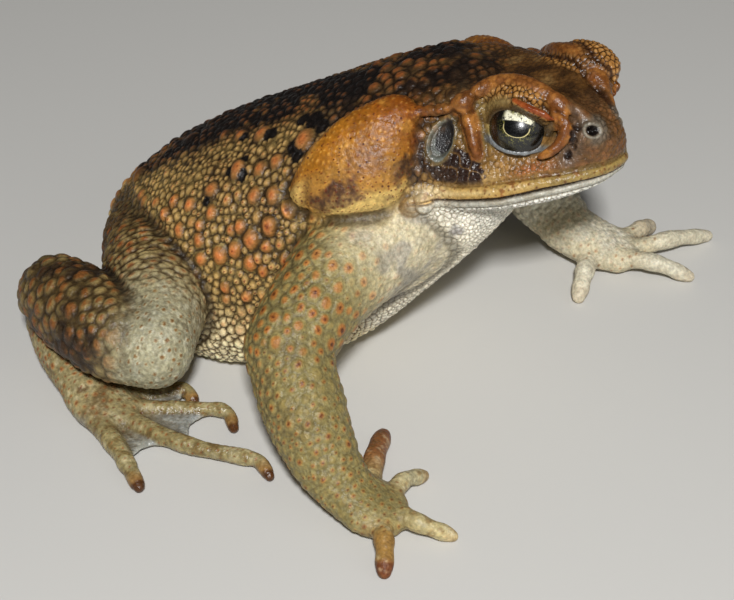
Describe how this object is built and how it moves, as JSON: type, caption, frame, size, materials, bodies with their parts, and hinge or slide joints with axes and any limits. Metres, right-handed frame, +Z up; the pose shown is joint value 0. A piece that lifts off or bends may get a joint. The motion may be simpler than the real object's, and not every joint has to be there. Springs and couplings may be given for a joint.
{
  "type": "cane toad",
  "caption": "Life-size cane toad sitting up on its front legs with its head turned aside, hind legs folded, warty skin and large glands behind the eyes.",
  "frame": {"origin": "on the floor under the middle of the bounding box, seen from above", "axes": "+X the way the body faces, +Y to the animal's left, +Z up"},
  "size_m": [0.13, 0.1478, 0.0769],
  "materials": {
    "head": "satin",
    "lower_jaw": "satin",
    "trunk": "matte",
    "eye_right": "gloss",
    "eardrum_right": "satin",
    "parotoid_gland_right": "satin",
    "upper_arm_right": "matte",
    "forearm_right": "matte",
    "hand_right": "matte",
    "thigh_right": "matte",
    "shank_right": "matte",
    "ankle_right": "matte",
    "foot_right": "matte",
    "eye_left": "gloss",
    "eardrum_left": "satin",
    "parotoid_gland_left": "satin",
    "upper_arm_left": "matte",
    "forearm_left": "matte",
    "hand_left": "matte",
    "thigh_left": "matte",
    "shank_left": "matte",
    "ankle_left": "matte",
    "foot_left": "matte"
  },
  "bodies": {
    "root": {"head": "head", "lower_jaw": "lower_jaw", "trunk": "trunk", "eye_right": "eye_right", "eardrum_right": "eardrum_right", "parotoid_gland_right": "parotoid_gland_right", "upper_arm_right": "upper_arm_right", "forearm_right": "forearm_right", "hand_right": "hand_right", "thigh_right": "thigh_right", "shank_right": "shank_right", "ankle_right": "ankle_right", "foot_right": "foot_right", "eye_left": "eye_left", "eardrum_left": "eardrum_left", "parotoid_gland_left": "parotoid_gland_left", "upper_arm_left": "upper_arm_left", "forearm_left": "forearm_left", "hand_left": "hand_left", "thigh_left": "thigh_left", "shank_left": "shank_left", "ankle_left": "ankle_left", "foot_left": "foot_left"}
  },
  "joints": []
}
